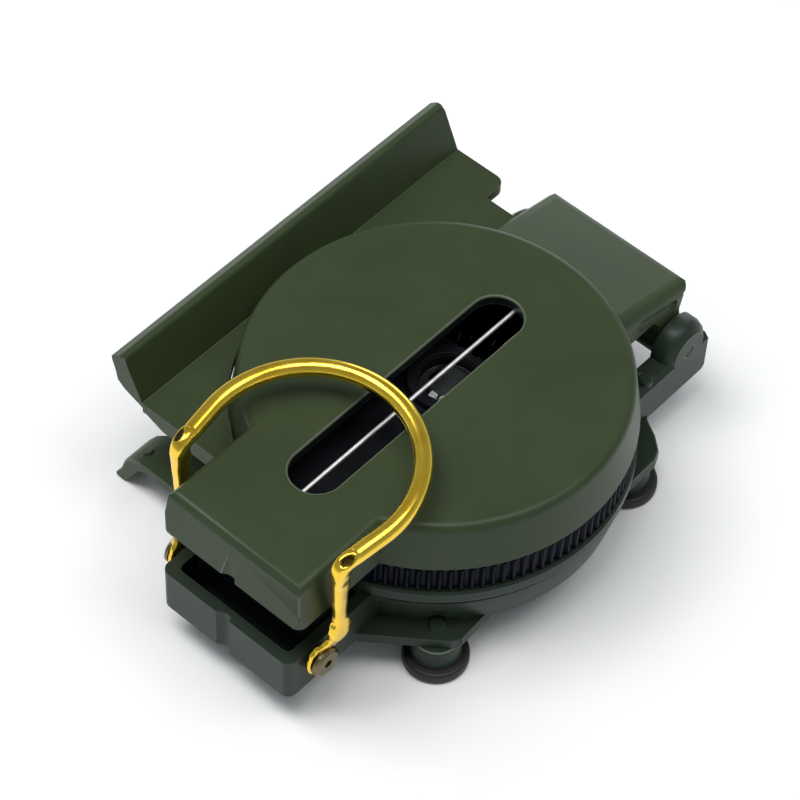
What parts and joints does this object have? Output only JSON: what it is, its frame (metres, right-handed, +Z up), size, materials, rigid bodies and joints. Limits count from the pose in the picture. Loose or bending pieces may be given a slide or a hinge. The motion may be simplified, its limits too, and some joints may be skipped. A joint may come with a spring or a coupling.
{
  "type": "folding sighting compass",
  "caption": "Pocket sighting compass, closed: round lid with slot and wire, side straight edge, ribbed bezel over a floating dial, folding eyepiece, gilt wire thumb loop and rubber feet.",
  "frame": {"origin": "centre of the whole object's bounding box in plan, on the plane under the four rubber feet", "axes": "+Y from the thumb loop towards the lid hinge, +Z up through the lid, +X to the side away from the straight edge"},
  "size_m": [0.06, 0.0782, 0.0329],
  "materials": {
    "olive_paint": "satin olive stove paint, worn bright on the edges",
    "black_metal": "blue-black satin anodised metal",
    "gilt_wire": "bright gilt lacquer",
    "rivet_brass": "dull bronzed brass",
    "steel": "bright drawn steel",
    "pad_rubber": "dark brown rubber",
    "clear_glass": "clear polished glass",
    "cup_plastic": "dark grey moulded plastic",
    "card_print": "black dial card with pale printed scale",
    "magnet_iron": "plain sintered magnet",
    "jewel_red": "polished ruby red bearing cap",
    "glow_paint": "pale green luminous compound"
  },
  "bodies": {
    "base": {"base_body": "olive_paint", "base_straight_edge": "olive_paint", "foot_posts": "olive_paint", "foot_pads": "pad_rubber", "capsule_cup": "cup_plastic", "capsule_gasket": "pad_rubber", "capsule_window": "clear_glass", "pivot_pin": "steel", "bezel_retaining_ring": "steel", "bezel_click_spring": "steel", "hinge_pin": "steel", "eyepiece_pin": "steel", "bail_rivets": "rivet_brass"},
    "lid_assembly": {"lid": "olive_paint", "lid_straight_edge": "olive_paint", "straight_edge_screws": "steel", "sighting_wire": "steel", "wire_anchors": "steel", "luminous_dots": "glow_paint"},
    "eyepiece": {"eyepiece_bracket": "black_metal", "eyepiece_lens": "clear_glass", "lens_retaining_ring": "black_metal"},
    "thumb_loop": {"bail": "gilt_wire"},
    "bezel": {"bezel_ring": "black_metal", "bezel_glass": "clear_glass", "bezel_index_line": "glow_paint"},
    "dial": {"dial_card": "card_print", "dial_magnet": "magnet_iron", "jewel_cap": "jewel_red"}
  },
  "joints": [
    {"name": "lid_open", "type": "hinge", "parent": "base", "child": "lid_assembly", "pos_m": [0.00305, 0.03475, 0.0134], "axis": [-1, 0, 0], "range_deg": [0, 46]},
    {"name": "loop_swing", "type": "hinge", "parent": "base", "child": "thumb_loop", "pos_m": [0.00305, -0.03425, 0.0106], "axis": [1, 0, 0], "range_deg": [0, 216.5]},
    {"name": "eyepiece_fold", "type": "hinge", "parent": "base", "child": "eyepiece", "pos_m": [0.00305, -0.03165, 0.0102], "axis": [1, 0, 0], "range_deg": [0, 25.5]},
    {"name": "bezel_turn", "type": "hinge", "parent": "base", "child": "bezel", "pos_m": [0.00305, 0.00075, 0.014], "axis": [0, 0, 1], "continuous": true},
    {"name": "dial_spin", "type": "hinge", "parent": "base", "child": "dial", "pos_m": [0.00305, 0.00075, 0.0109], "axis": [0, 0, 1], "continuous": true}
  ],
  "couplings": [
    {"joint": "loop_swing", "follows": "lid_open", "ratio": 4.7},
    {"joint": "eyepiece_fold", "follows": "lid_open", "ratio": 0.55}
  ]
}
